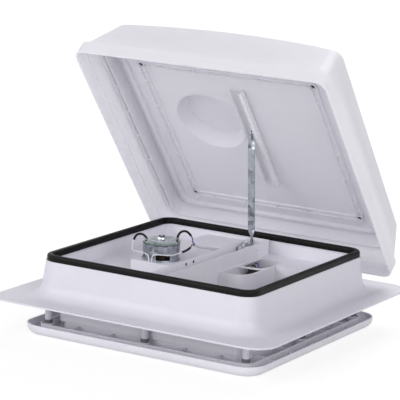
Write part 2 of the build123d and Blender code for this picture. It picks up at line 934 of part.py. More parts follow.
def roller_place(angle):
    """Roller centre in the YZ plane when the lid is open by an angle in degrees."""
    turn = math.radians(angle)
    foot_y = hinge_y + roller_line * math.sin(turn)
    foot_z = hinge_z + roller_line * math.cos(turn)
    back_y = foot_y - arm_pivot_y
    back_z = foot_z - arm_pivot_z
    along = -back_y * math.cos(turn) + back_z * math.sin(turn)
    rest = back_y**2 + back_z**2 - arm_length**2
    reach = -along + math.sqrt(along**2 - rest)
    return foot_y - reach * math.cos(turn), foot_z + reach * math.sin(turn)


def arm_angle(angle):
    """Angle of the arm above the front horizontal for a lid angle, in degrees."""
    y, z = roller_place(angle)
    return math.degrees(math.atan2(z - arm_pivot_z, arm_pivot_y - y))


def lid_turn():
    """Turns a piece of the closed lid about the hinge into the open position."""
    return Pos(0, hinge_y, hinge_z) * Rot(-lid_open_angle, 0, 0) * Pos(0, -hinge_y, -hinge_z)


def arm_turn():
    """Turns a piece of the upright arm about its pivot into the rest position."""
    lean = arm_angle(lid_open_angle) - 90
    return Pos(0, arm_pivot_y, arm_pivot_z) * Rot(-lean, 0, 0)


def twist(z_low, z_high, width_low, width_high, start_angle):
    """A quarter twist of flat strip between two heights."""
    sections = []
    for index in range(twist_steps):
        share = index / (twist_steps - 1)
        width = width_low + (width_high - width_low) * share
        height = z_low + (z_high - z_low) * share
        sections.append(Pos(0, 0, height) * Rot(0, 0, start_angle + 90 * share) * Rectangle(width, arm_thickness))
    return loft(sections, ruled=True)


def lift_arm():
    """Strip with an ear at each end, each joined to it by a quarter twist."""
    half = arm_thickness / 2
    ear = block(-half, half, -arm_ear_width / 2, arm_ear_width / 2, 0, arm_ear_length)
    ear += cross_rod(-half, half, 0, 0, arm_ear_width / 2)
    strip_low = arm_ear_length + arm_twist_length
    ear += twist(arm_ear_length, strip_low, arm_ear_width, arm_width, 90)
    tip_low = arm_length - arm_tip_ear_length
    strip_high = tip_low - arm_twist_length
    ear += block(-arm_width / 2, arm_width / 2, -half, half, strip_low, strip_high)
    ear += twist(strip_high, tip_low, arm_width, arm_tip_width, 0)
    ear += block(-half, half, -arm_tip_width / 2, arm_tip_width / 2, tip_low, arm_length)
    ear += cross_rod(-half, half, 0, arm_length, arm_tip_width / 2)
    ear -= cross_rod(-half, half, 0, 0, pin_radius + pin_fit)
    ear -= cross_rod(-half, half, 0, arm_length, roller_pin_radius)
    return arm_turn() * Pos(arm_x, 0, 0) * ear


def arm_gear():
    """Toothed sector and hub riveted to the arm, turning on the same pin."""
    pitch_radius = gear_module * gear_teeth / 2
    root = pitch_radius - gear_dedendum
    tip = pitch_radius + gear_addendum
    step = 360 / gear_teeth
    tooth_root = math.radians(step * gear_tooth_share)
    tooth_tip = math.radians(step * gear_tip_share)
    sketch = Circle(root)
    for index in range(-gear_sector_before, gear_sector_after + 1):
        low = root - gear_dedendum
        corners = [
            (low * math.cos(tooth_root), -low * math.sin(tooth_root)),
            (root * math.cos(tooth_root), -root * math.sin(tooth_root)),
            (tip * math.cos(tooth_tip), -tip * math.sin(tooth_tip)),
            (tip * math.cos(tooth_tip), tip * math.sin(tooth_tip)),
            (root * math.cos(tooth_root), root * math.sin(tooth_root)),
            (low * math.cos(tooth_root), low * math.sin(tooth_root)),
        ]
        sketch += Rot(0, 0, index * step) * make_face(Polyline(*corners, close=True))
    face = Plane((gear_x - gear_width / 2, 0, 0), x_dir=(0, -1, 0), z_dir=(-1, 0, 0)) * sketch
    wheel = extrude(face, -gear_width)
    arm_side = arm_x - arm_thickness / 2
    wheel += cross_rod(gear_x - gear_width / 2, arm_side, 0, 0, gear_hub_radius)
    wheel -= cross_rod(gear_x - gear_width / 2, arm_side, 0, 0, pin_radius + pin_fit)
    return Pos(0, arm_pivot_y, arm_pivot_z) * wheel


def arm_pin():
    """Pivot pin through both walls of the channel."""
    return cross_rod(channel_left, channel_right, arm_pivot_y, arm_pivot_z, pin_radius)


def roller_pin():
    """Pin from the arm's upper ear into the track's rail."""
    y, z = roller_place(lid_open_angle)
    return cross_rod(arm_x - arm_thickness / 2, rail_right - rail_sheet - roller_side_gap, y, z, roller_pin_radius)


def track_roller():
    """Roller on the pin, inside the rail."""
    y, z = roller_place(lid_open_angle)
    right = rail_right - rail_sheet - roller_side_gap
    left = right - roller_width
    roller = cross_rod(left, right, y, z, roller_radius)
    return roller - cross_rod(left, right, y, z, roller_pin_radius + pin_fit)


def worm_shaft():
    """Upright shaft from the knob to the worm, with one helical thread."""
    pitch = math.pi * gear_module
    low = arm_pivot_z - worm_length / 2
    top = low + worm_length
    root = worm_pitch_radius - gear_dedendum
    tip = worm_pitch_radius + gear_addendum
    thread_low = low + pitch / 2
    path = Helix(pitch, worm_length - pitch, root)
    half_root = pitch * worm_thread_share / 2
    half_tip = pitch * worm_thread_tip_share / 2
    profile = make_face(
        Polyline(
            (-worm_core_sunk, -half_root), (tip - root, -half_tip), (tip - root, half_tip),
            (-worm_core_sunk, half_root), close=True,
        )
    )
    start = Plane((root, 0, 0), x_dir=(1, 0, 0), z_dir=(0, -1, 0))
    thread = sweep(start * profile, path=path, is_frenet=True)
    crest = (arm_pivot_z + pitch / 2 - thread_low) / pitch
    phase = 90 - 360 * (crest - math.floor(crest))
    core = rod(gear_x, worm_y, low, top, root)
    knob_top = console_low - knob_gap
    shaft = rod(gear_x, worm_y, knob_top, low, crank_shaft_radius)
    return core + shaft + Pos(gear_x, worm_y, thread_low) * Rot(0, 0, phase) * thread


def crank_knob():
    """Fluted knob on the shaft's lower end, inside the trim."""
    top = console_low - knob_gap
    low = top - knob_height
    knob = rod(gear_x, worm_y, low, top, knob_radius)
    for index in range(knob_flutes):
        turn = math.radians(index * 360 / knob_flutes)
        x = gear_x + knob_radius * math.cos(turn)
        y = worm_y + knob_radius * math.sin(turn)
        knob -= rod(x, y, low, top, knob_flute_radius)
    return fillet(knob.edges().group_by(Axis.Z)[0], knob_round)


def shaft_bush():
    """Flanged bush in the channel's floor."""
    top = deck_top + channel_floor
    bush = rod(gear_x, worm_y, deck_top - deck_thickness, top, bush_radius)
    bush += rod(gear_x, worm_y, top, top + bush_flange, bush_flange_radius)
    return bush - rod(gear_x, worm_y, deck_top - deck_thickness, top + bush_flange, crank_shaft_radius + shaft_run_gap)


def crown_height(x, y):
    """Height of the dome's outer crown over the closed lid at a place of the closed lid."""
    shoulder = lid_rim_low + lid_band_height + lid_shoulder_height
    half = lid_half_x - lid_band_step - lid_side_draft
    radius = (half**2 + lid_crown**2) / (2 * lid_crown)
    rise = (lid_center_y - y) * math.tan(math.radians(lid_top_tilt))
    return shoulder + lid_crown - radius + math.sqrt(radius**2 - x**2) + rise


def dome_body(inset):
    """Solid of the dome above the band, taken in by a wall, its crown higher at the front."""
    base = lid_rim_low + lid_band_height
    full = lid_shoulder_height + 2 * lid_crown
    share = full / lid_shoulder_height
    half_x = lid_half_x - lid_band_step - inset
    half_y = lid_half_y - lid_band_step - inset
    corner = lid_corner - inset
    bottom = Pos(0, lid_center_y, base) * RectangleRounded(2 * half_x, 2 * half_y, corner)
    top_x = half_x - lid_side_draft * share
    top_y = half_y - lid_end_draft * share
    top_center = lid_center_y + lid_top_shift * share
    top = Pos(0, top_center, base + full) * RectangleRounded(2 * top_x, 2 * top_y, corner)
    body = loft([bottom, top], ruled=True)
    half = lid_half_x - lid_band_step - lid_side_draft
    radius = (half**2 + lid_crown**2) / (2 * lid_crown)
    peak = base + lid_shoulder_height + lid_crown
    lean = Rot(90 - lid_top_tilt, 0, 0)
    crown = lean * Cylinder(radius - inset, 4 * lid_half_y)
    return body & (Pos(0, lid_center_y, peak - radius) * crown)


def lid_dome():
    """Translucent outer lid: a band, drafted walls, a crowned top and four screw towers."""
    base = lid_rim_low + lid_band_height
    outer = dome_body(0)
    top_edges = outer.faces().sort_by(Axis.Z)[-1].edges()
    outer = fillet(top_edges, lid_edge_round)
    dome = outer - dome_body(lid_wall)
    band = ring(lid_half_x, lid_half_y, lid_corner, lid_wall, lid_rim_low, base, lid_center_y)
    shelf_wall = lid_wall + lid_band_step
    band += ring(
        lid_half_x, lid_half_y, lid_corner, shelf_wall, base - lid_wall, base, lid_center_y
    )
    dome += band
    for x, y in lid_screw_places():
        top = crown_height(abs(x) + tower_radius, y + tower_radius) - lid_wall / 2
        tower = rod(x, y, liner_low + liner_thickness, top, tower_radius)
        bore_top = liner_low + lid_screw_length
        dome += tower - rod(x, y, liner_low + liner_thickness, bore_top, lid_screw_radius + bore_gap)
    return lid_turn() * dome


def lid_screw_places():
    """The four dark screws of the inner panel."""
    return [(i * lid_screw_x, j * lid_screw_y) for i in (-1, 1) for j in (-1, 1)]


def panel_half(z):
    """Inner half sizes and middle of the dome at a height of the closed lid."""
    share = (z - lid_rim_low - lid_band_height) / lid_shoulder_height
    clear = lid_wall + lid_band_step + fit_gap
    half_x = lid_half_x - clear - lid_side_draft * share
    half_y = lid_half_y - clear - lid_end_draft * share
    return half_x, half_y, lid_center_y + lid_top_shift * share


def rungs(half, half_front, half_back, gap, z_low, z_high):
    """Cross ribs between two rails on the four sides of a square."""
    bars = []
    wall = rail_wall / 2
    for step in range(-rungs_each_way, rungs_each_way + 1):
        at = step * rung_pitch
        for side in (-1, 1):
            inner = side * half
            outer = side * (half + gap)
            bars.append(block(min(inner, outer), max(inner, outer), at - wall, at + wall, z_low, z_high))
        bars.append(block(at - wall, at + wall, -half_front - gap, -half_front, z_low, z_high))
        if half_back:
            bars.append(block(at - wall, at + wall, half_back, half_back + gap, z_low, z_high))
    return bars


def lid_liner():
    """Inner panel: ribbed rails, sealing bead and the round bump over the motor."""
    top = liner_low + liner_thickness
    half_x, half_y, middle = panel_half(top)
    panel = slab(half_x, half_y, lid_corner, liner_low, top, middle)
    center = (outer_rail_back - outer_rail_front) / 2
    half_rail_y = (outer_rail_back + outer_rail_front) / 2
    low = liner_low - outer_rail_depth
    corner = outer_rail_corner
    panel += ring(outer_rail_half, half_rail_y, corner, rail_wall, low, liner_low, center)
    wide = rail_gap + rail_wall
    span = outer_rail_half + wide
    second = ring(span, half_rail_y + wide, corner + wide, rail_wall, low, liner_low, center)
    second -= block(-span, span, outer_rail_back - corner, outer_rail_back + wide, low, liner_low)
    panel += second
    for bar in rungs(outer_rail_half, outer_rail_front, 0, rail_gap, low, liner_low):
        panel += bar
    low = liner_low - inner_rail_depth
    panel += ring(inner_rail_half, inner_rail_half, rail_corner, rail_wall, low, liner_low)
    outer_half = inner_rail_half + inner_rail_gap + rail_wall
    panel += ring(outer_half, outer_half, rail_corner, rail_wall, low, liner_low)
    for bar in rungs(inner_rail_half, inner_rail_half, inner_rail_half, inner_rail_gap, low, liner_low):
        panel += bar
    bead_low = collar_height + gasket_height + soft_gap
    panel += ring(bead_half, bead_half, gasket_corner, bead_width, bead_low, liner_low)
    up = Pos(bump_x, bump_y, liner_low)
    bottom = (Align.CENTER, Align.CENTER, Align.MIN)
    wall_radius = bump_top_radius + bump_wall
    panel += up * Cone(bump_open_radius + bump_wall, wall_radius, bump_height + bump_wall, align=bottom)
    panel -= up * Cone(bump_open_radius, bump_top_radius, bump_height, align=bottom)
    for x, y in lid_screw_places():
        panel += rod(x, y, low, liner_low, tower_radius)
        panel -= rod(x, y, liner_low - lid_screw_head_height, top, lid_screw_radius + bore_gap)
        panel -= rod(x, y, low, liner_low, lid_screw_head_radius + bore_gap)
    return lid_turn() * panel


def lid_screws():
    """Dark screws up through the panel into the towers."""
    screws = []
    for x, y in lid_screw_places():
        head = rod(x, y, liner_low - lid_screw_head_height, liner_low, lid_screw_head_radius)
        head = fillet(head.edges().sort_by(Axis.Z)[0], lid_screw_head_height * 0.6)
        shank = rod(x, y, liner_low, liner_low + lid_screw_length - fit_gap, lid_screw_radius)
        screws.append(head + shank)
    return lid_turn() * Compound(screws)


def slide_track():
    """White track base under the panel, with a guard along its left side."""
    low = liner_low - track_base
    front = track_back - track_length
    base = block(track_left, rail_right, front, track_back, low, liner_low)
    guard = block(track_left, track_left + track_guard, front, track_back, liner_low - track_guard_depth, low)
    return lid_turn() * (base + guard)


def track_rail():
    """Steel rail of C section along the track, open towards the arm."""
    middle = lid_plane - roller_drop + track_lift
    room = roller_radius + roller_play
    front = track_back - track_length
    high = liner_low - track_base
    low = middle - room - rail_sheet
    body = block(rail_left, rail_right, front, track_back, low, high)
    body -= block(rail_left, rail_right - rail_sheet, front, track_back, middle - room, middle + room)
    return lid_turn() * body


def hinge_brackets():
    """Two brackets on the roof plate, each with a pair of ears."""
    brackets = []
    inner = knuckle_length / 2 + hinge_side_gap
    outer = inner + ear_thickness
    low = flange_thickness
    for side in (-1, 1):
        middle = side * hinge_x
        pad = block(middle - outer, middle + outer, hinge_y - pad_front, hinge_y + pad_back, low, low + pad_thickness)
        for ear in (-1, 1):
            near = middle + ear * inner
            far = middle + ear * outer
            left, right = min(near, far), max(near, far)
            pad += block(left, right, hinge_y - knuckle_radius, hinge_y + knuckle_radius, low, hinge_z)
            pad += cross_rod(left, right, hinge_y, hinge_z, knuckle_radius)
        pad -= cross_rod(middle - outer, middle + outer, hinge_y, hinge_z, hinge_pin_radius + pin_fit)
        brackets.append(pad)
    return Compound(brackets)


def hinge_knuckles():
    """Barrels with leaves on the back of the lid's band."""
    knuckles = []
    half = knuckle_length / 2
    back = lid_center_y + lid_half_y
    for side in (-1, 1):
        middle = side * hinge_x
        barrel = cross_rod(middle - half, middle + half, hinge_y, hinge_z, knuckle_radius)
        barrel += block(middle - half, middle + half, back, hinge_y, hinge_z, hinge_z + knuckle_radius)
        barrel += block(middle - half, middle + half, back, back + leaf_thickness, hinge_z, hinge_z + leaf_height)
        barrel -= cross_rod(middle - half, middle + half, hinge_y, hinge_z, hinge_pin_radius + pin_fit)
        knuckles.append(barrel)
    return lid_turn() * Compound(knuckles)


def hinge_pins():
    """Pins through the ears and the barrels, with a head at each end."""
    pins = []
    outer = knuckle_length / 2 + hinge_side_gap + ear_thickness
    for side in (-1, 1):
        middle = side * hinge_x
        low, high = middle - outer, middle + outer
        pin = cross_rod(low - hinge_pin_head, high + hinge_pin_head, hinge_y, hinge_z, hinge_pin_radius)
        pin += cross_rod(low - hinge_pin_head, low, hinge_y, hinge_z, hinge_pin_head_radius)
        pin += cross_rod(high, high + hinge_pin_head, hinge_y, hinge_z, hinge_pin_head_radius)
        pins.append(pin)
    return Compound(pins)


def switch_body():
    """Body of the rocker switch in the console's floor, with two terminals."""
    low = console_low - switch_bezel
    top = console_low + switch_height
    half_x, half_y = switch_width / 2, switch_depth / 2
    body = block(switch_x - half_x, switch_x + half_x, switch_y - half_y, switch_y + half_y, console_low, top)
    rim_x, rim_y = half_x + switch_bezel, half_y + switch_bezel
    body += block(switch_x - rim_x, switch_x + rim_x, switch_y - rim_y, switch_y + rim_y, low, console_low)
    room_x, room_y = rocker_width / 2 + rocker_gap, rocker_depth / 2 + rocker_gap
    room_top = console_low + 2 * rocker_height
    body -= block(switch_x - room_x, switch_x + room_x, switch_y - room_y, switch_y + room_y, low, room_top)
    for step in (-1, 1):
        y = switch_y + step * terminal_height
        body += block(
            switch_x - terminal_width / 2, switch_x + terminal_width / 2,
            y - terminal_thickness / 2, y + terminal_thickness / 2, top, top + terminal_height,
        )
    return body


def switch_rocker():
    """Rocker of the switch, pressed at its front end."""
    half = rocker_depth / 2 - rocker_gap
    body = block(-rocker_width / 2, rocker_width / 2, -half, half, -rocker_height, rocker_height / 2)
    body = body & cross_rod(-rocker_width / 2, rocker_width / 2, 0, 0, half)
    return Pos(switch_x, switch_y, console_low) * Rot(-rocker_tilt, 0, 0) * body


def strap_place():
    """Frame of the strap across the pocket: its middle and its direction."""
    left = channel_right + pocket_wall
    right = pocket_right - pocket_wall
    angle = math.degrees(math.atan2(strap_right_y - strap_left_y, right - left))
    return Pos((left + right) / 2, (strap_left_y + strap_right_y) / 2, 0) * Rot(0, 0, angle)


def switch_strap():
    """White strap across the pocket that carries the connector."""
    reach = pocket_right - channel_right
    bar = block(-reach, reach, -strap_width / 2, strap_width / 2, deck_top - strap_height, deck_top)
    left = channel_right + pocket_wall
    right = pocket_right - pocket_wall
    room = block(left, right, pocket_front, pocket_back, deck_top - strap_height, deck_top)
    return (strap_place() * bar) & room


def connector_block():
    """Dark connector that hangs under the strap."""
    top = deck_top - strap_height
    body = block(
        -connector_width / 2, connector_width / 2, -connector_depth / 2, connector_depth / 2,
        top - connector_height, top,
    )
    return strap_place() * chamfer(body.edges().filter_by(Axis.Z), strap_height / 2)


parts = {
    "base_flange": base_flange,
    "collar_gasket": collar_gasket,
    "inner_tub": inner_tub,
    "lift_channel": lift_channel,
    "control_console": control_console,
    "fan_shroud": fan_shroud,
    "motor_plate": motor_plate,
    "plate_screws": plate_screws,
    "motor_can": motor_can,
    "motor_cap": motor_cap,
    "motor_armature": motor_armature,
    "motor_shaft": motor_shaft,
    "shaft_nut": shaft_nut,
    "fan_impeller": fan_impeller,
    "motor_terminals": motor_terminals,
    "black_sleeves": black_sleeves,
    "white_leads": white_leads,
    "blue_lead": blue_lead,
    "red_lead": red_lead,
    "grey_cable": grey_cable,
    "cable_clip": cable_clip,
    "clamp_posts": clamp_posts,
    "clamp_washers": clamp_washers,
    "clamp_screws": clamp_screws,
    "interior_trim": interior_trim,
    "screen_frame": screen_frame,
    "insect_screen": insect_screen,
    "lid_dome": lid_dome,
    "lid_liner": lid_liner,
    "lid_screws": lid_screws,
    "slide_track": slide_track,
    "track_rail": track_rail,
    "lift_arm": lift_arm,
    "arm_gear": arm_gear,
    "arm_pin": arm_pin,
    "roller_pin": roller_pin,
    "track_roller": track_roller,
    "worm_shaft": worm_shaft,
    "crank_knob": crank_knob,
    "shaft_bush": shaft_bush,
    "hinge_brackets": hinge_brackets,
    "hinge_knuckles": hinge_knuckles,
    "hinge_pins": hinge_pins,
    "switch_body": switch_body,
    "switch_rocker": switch_rocker,
    "switch_strap": switch_strap,
    "connector_block": connector_block,
}

os.makedirs("parts", exist_ok=True)
for name, make in parts.items():
    export_step(make(), f"parts/{name}.step")
print("arm angle open", round(arm_angle(lid_open_angle), 3), "closed", round(arm_angle(0), 3))
print("roller place", [round(value, 3) for value in roller_place(lid_open_angle)])
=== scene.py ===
import math
import bmesh
import bpy
from mathutils import Matrix, Vector


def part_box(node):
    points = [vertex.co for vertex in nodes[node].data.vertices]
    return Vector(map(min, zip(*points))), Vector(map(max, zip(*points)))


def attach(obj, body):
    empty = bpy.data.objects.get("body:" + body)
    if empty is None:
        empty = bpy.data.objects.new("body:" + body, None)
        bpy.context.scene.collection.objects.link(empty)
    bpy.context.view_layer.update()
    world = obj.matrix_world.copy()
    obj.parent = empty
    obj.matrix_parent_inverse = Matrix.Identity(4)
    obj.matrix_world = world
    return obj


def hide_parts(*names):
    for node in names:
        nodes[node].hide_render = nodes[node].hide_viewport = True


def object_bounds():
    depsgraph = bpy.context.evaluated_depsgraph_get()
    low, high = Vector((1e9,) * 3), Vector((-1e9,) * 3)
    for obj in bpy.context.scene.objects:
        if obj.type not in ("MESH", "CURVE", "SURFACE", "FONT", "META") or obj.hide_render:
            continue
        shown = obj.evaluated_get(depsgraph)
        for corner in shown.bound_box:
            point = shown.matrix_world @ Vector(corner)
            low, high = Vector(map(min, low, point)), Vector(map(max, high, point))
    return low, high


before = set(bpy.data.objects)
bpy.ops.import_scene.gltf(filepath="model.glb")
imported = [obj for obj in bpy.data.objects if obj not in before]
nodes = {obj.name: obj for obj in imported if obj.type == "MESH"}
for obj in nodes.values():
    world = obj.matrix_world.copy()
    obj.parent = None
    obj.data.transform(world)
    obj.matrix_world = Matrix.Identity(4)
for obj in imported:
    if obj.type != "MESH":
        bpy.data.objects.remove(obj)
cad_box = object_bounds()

# Blender's lengths are metres; a length that is multiplied by MM is written in millimetres
MM = 0.001
UP = (0, 0, 1)
DOWN = (0, 0, -1)

# Camera, fitted to the roof plate, collar, lid and trim in the photograph
IMAGE_WIDTH = 400
SENSOR_WIDTH = 36.0
FOCAL_PIXELS = 2255.19
CAMERA_AZIMUTH = 29.782
CAMERA_ELEVATION = 11.628
CAMERA_ROLL = 2.678
CAMERA_PLACE = (1.8031, -3.1797, 0.9109)
CAMERA_REACH = 100

# Floor: a share of it is plain and keeps the shadow, the rest glows, a little more further away
FLOOR_SIZE = 60.0
FLOOR_COLOR = (0.9, 0.9, 0.905, 1)
PLAIN_SHARE = 0.3
NEAR_GLOW = 1.14
FAR_GLOW = 1.42
GLOW_START = 0.7
GLOW_END = 4.0

# World and lamps
WHITE = (1, 1, 1, 1)
WORLD_LIGHT = 0.35
LAMP_TARGET = (0, 0, 0.15)
LAMPS = {
    "left_lamp": {"place": (-2.2, -3.4, 2.2), "size": 2.4, "power": 62},
    "low_lamp": {"place": (-0.8, -4.0, 0.5), "size": 2.4, "power": 44},
    "right_lamp": {"place": (3.2, -2.0, 1.6), "size": 2.4, "power": 62},
    "lid_lamp": {"place": (-0.2, 1.9, 1.8), "size": 1.4, "power": 28},
}


# Camera and stage
def add_camera():
    """The camera, turned as the photograph's was."""
    azimuth = math.radians(CAMERA_AZIMUTH)
    elevation = math.radians(CAMERA_ELEVATION)
    roll = math.radians(CAMERA_ROLL)
    right = Vector((math.cos(azimuth), math.sin(azimuth), 0))
    back = Vector((
        math.sin(azimuth) * math.cos(elevation),
        -math.cos(azimuth) * math.cos(elevation),
        math.sin(elevation),
    ))
    up = back.cross(right)
    turned_right = right * math.cos(roll) + up * math.sin(roll)
    turned_up = up * math.cos(roll) - right * math.sin(roll)
    data = bpy.data.cameras.new("photo_camera")
    data.sensor_fit = "HORIZONTAL"
    data.sensor_width = SENSOR_WIDTH
    data.lens = FOCAL_PIXELS / IMAGE_WIDTH * SENSOR_WIDTH
    data.clip_end = CAMERA_REACH
    camera = bpy.data.objects.new("photo_camera", data)
    bpy.context.scene.collection.objects.link(camera)
    axes = Matrix((turned_right, turned_up, back)).transposed()
    camera.matrix_world = Matrix.Translation(CAMERA_PLACE) @ axes.to_4x4()
    bpy.context.scene.camera = camera


def node_adder(owner):
    """Empties the node tree of a material or the world; the function it gives adds a node there."""
    owner.use_nodes = True
    tree = owner.node_tree
    tree.nodes.clear()

    def add(kind, inputs=None, **settings):
        node = tree.nodes.new(kind)
        for name, value in settings.items():
            setattr(node, name, value)
        for name, value in (inputs or {}).items():
            if isinstance(value, bpy.types.NodeSocket):
                tree.links.new(value, node.inputs[name])
            else:
                node.inputs[name].default_value = value
        return node

    return add


def seen_directly(add):
    """1 for a ray from the camera, or one that metal or glass sends on."""
    path = add("ShaderNodeLightPath").outputs
    first = add("ShaderNodeMath", {0: path["Is Camera Ray"], 1: path["Is Glossy Ray"]}, operation="MAXIMUM")
    both = {0: first.outputs[0], 1: path["Is Transmission Ray"]}
    return add("ShaderNodeMath", both, operation="MAXIMUM").outputs[0]


def add_world():
    """White where it is seen, plain soft light everywhere else."""
    world = bpy.data.worlds.new("studio")
    bpy.context.scene.world = world
    add = node_adder(world)
    level = add("ShaderNodeMapRange", {"Value": seen_directly(add), "To Min": WORLD_LIGHT, "To Max": 1.0})
    light = add("ShaderNodeBackground", {"Color": WHITE, "Strength": level.outputs["Result"]})
    add("ShaderNodeOutputWorld", {"Surface": light.outputs[0]})


def add_floor():
    """A floor under the object, white where it is seen and with the object's shadow kept."""
    low = cad_box[0][2]
    half = FLOOR_SIZE / 2
    corners = [(-half, -half, low), (half, -half, low), (half, half, low), (-half, half, low)]
    mesh = bpy.data.meshes.new("floor")
    mesh.from_pydata(corners, [], [(0, 1, 2, 3)])
    floor = bpy.data.objects.new("floor", mesh)
    bpy.context.scene.collection.objects.link(floor)
    material = bpy.data.materials.new("floor_white")
    add = node_adder(material)
    plain = add("ShaderNodeBsdfDiffuse", {"Color": FLOOR_COLOR})
    place = add("ShaderNodeTexCoord").outputs["Object"]
    away = add("ShaderNodeVectorMath", {0: place}, operation="LENGTH").outputs["Value"]
    glow = spread(add, away, NEAR_GLOW, FAR_GLOW, GLOW_START, GLOW_END)
    white = add("ShaderNodeEmission", {"Color": WHITE, "Strength": glow})
    share = add("ShaderNodeMath", {0: seen_directly(add), 1: 1 - PLAIN_SHARE}, operation="MULTIPLY")
    mixed = add("ShaderNodeMixShader", {0: share.outputs[0], 1: plain.outputs[0], 2: white.outputs[0]})
    add("ShaderNodeOutputMaterial", {"Surface": mixed.outputs[0]})
    mesh.materials.append(material)


def add_lamps():
    """Large soft lamps that look at the middle of the vent."""
    target = Vector(LAMP_TARGET)
    for name, lamp in LAMPS.items():
        data = bpy.data.lights.new(name, "AREA")
        data.energy = lamp["power"]
        data.size = lamp["size"]
        light = bpy.data.objects.new(name, data)
        bpy.context.scene.collection.objects.link(light)
        place = Vector(lamp["place"])
        turn = (target - place).to_track_quat("-Z", "Y").to_matrix().to_4x4()
        light.matrix_world = Matrix.Translation(place) @ turn


# Colours and shader parts
def color(red, green, blue):
    """A colour given as it shows on a screen, from 0 to 255, in the shader's own scale."""
    def part(value):
        share = value / 255
        return share / 12.92 if share <= 0.04045 else ((share + 0.055) / 1.055) ** 2.4
    return (part(red), part(green), part(blue), 1)


def tone(value, factor):
    """A colour made lighter or darker."""
    return tuple(min(1, part * factor) for part in value[:3]) + (1,)


def noise(add, coordinates, scale, detail):
    """Cloudy noise around one half."""
    cloud = add("ShaderNodeTexNoise", {"Vector": coordinates, "Scale": scale, "Detail": detail})
    return cloud.outputs["Fac"]


def spread(add, value, low, high, start=0.35, end=0.65):
    """A value that runs from low to high while another runs from start to end."""
    return add("ShaderNodeMapRange", {
        "Value": value, "From Min": start, "From Max": end, "To Min": low, "To Max": high,
    }).outputs["Result"]


def color_mix(add, share, first, second):
    """Two colours mixed by a share from 0 to 1; the node has its colours at sockets 6 and 7."""
    return add("ShaderNodeMix", {0: share, 6: first, 7: second}, data_type="RGBA").outputs[2]


def surface_relief(add, coordinates, grain, depth, edge):
    """A normal with a fine grain, and with rounded edges where an edge radius is given."""
    inputs = {"Height": noise(add, coordinates, grain, detail=4.0), "Strength": 1.0, "Distance": depth}
    if edge:
        inputs["Normal"] = add("ShaderNodeBevel", {"Radius": edge}, samples=4).outputs[0]
    return add("ShaderNodeBump", inputs).outputs[0]


# Looks, with lengths in metres; through is the share of the light that the lid's plastic lets pass
ROOF_WHITE = color(216, 214, 224)
INNER_WHITE = color(228, 226, 234)
LID_WHITE = color(242, 241, 246)
MILKY_LIGHT = color(250, 250, 252)
PLASTICS = {
    "roof_white": {"base": ROOF_WHITE, "roughness": 0.34, "mottle": 0.012, "specular": 0.3},
    "inner_white": {"base": INNER_WHITE, "roughness": 0.4, "mottle": 0.015, "specular": 0.3},
    "lid_white": {"base": LID_WHITE, "roughness": 0.32, "mottle": 0.012, "specular": 0.3, "through": 0.4},
    "liner_white": {"base": LID_WHITE, "roughness": 0.36, "mottle": 0.015, "specular": 0.3, "through": 0.5},
    "black_rubber": {
        "base": color(5, 5, 6), "roughness": 0.46, "mottle": 0.25, "grain": 1600, "depth": 0.00004,
        "specular": 0.16,
    },
    "washer_rubber": {
        "base": color(104, 102, 106), "roughness": 0.6, "mottle": 0.12, "grain": 1600, "depth": 0.00006,
        "edge": 0.0006,
    },
    "fan_grey": {"base": color(120, 120, 126), "mottle": 0.04, "edge": 0.0006},
    "black_plastic": {"base": color(34, 34, 38), "mottle": 0.15, "edge": 0.0004},
    "black_sleeving": {"base": color(12, 12, 15), "roughness": 0.5, "mottle": 0.2, "specular": 0.3},
    "white_insulation": {"base": color(225, 225, 230), "mottle": 0.03},
    "blue_insulation": {"base": color(50, 72, 150)},
    "red_insulation": {"base": color(120, 32, 40)},
    "brown_insulation": {"base": color(120, 84, 76)},
    "grey_insulation": {"base": color(205, 206, 212), "roughness": 0.4, "mottle": 0.03},
    "nylon": {"base": color(225, 222, 214), "roughness": 0.4, "mottle": 0.03, "edge": 0.0002},
    "mesh_grey": {"base": color(168, 168, 172), "roughness": 0.6, "mottle": 0.08},
}
METALS = {
    "galvanised": {"base": color(176, 182, 190), "roughness": 0.32, "spangle": 0.16, "scale": 160.0},
    "bright_steel": {"base": color(214, 218, 222), "roughness": 0.16, "spangle": 0.05, "scale": 400.0},
    "cap_steel": {
        "base": color(206, 212, 212), "roughness": 0.2, "spangle": 0.1, "scale": 260.0,
        "tint": color(150, 176, 160), "tint_radius": 0.031,
    },
    "rail_steel": {
        "base": color(222, 224, 228), "roughness": 0.24, "spangle": 0.05, "scale": 400.0,
        "pale": LID_WHITE, "pale_height": 0.345,
    },
    "gear_steel": {"base": color(200, 201, 206), "roughness": 0.45, "spangle": 0.08, "scale": 300.0},
    "dark_screw": {"base": color(46, 46, 52), "roughness": 0.4, "spangle": 0.1, "scale": 500.0},
    "zinc_screw": {"base": color(185, 186, 184), "roughness": 0.3, "spangle": 0.08, "scale": 500.0},
    "armature_iron": {"base": color(52, 42, 38), "roughness": 0.5, "spangle": 0.2, "scale": 300.0},
    "tinned_brass": {"base": color(150, 150, 146), "roughness": 0.4, "spangle": 0.08, "scale": 500.0},
    "nut_steel": {"base": color(92, 96, 106), "roughness": 0.35, "spangle": 0.08, "scale": 400.0},
}
# How far a tinted rim and a pale end fade, in metres, and how strong the tint is
TINT_FADE = 0.006
PALE_FADE = 0.01
TINT_SHARE = 0.75
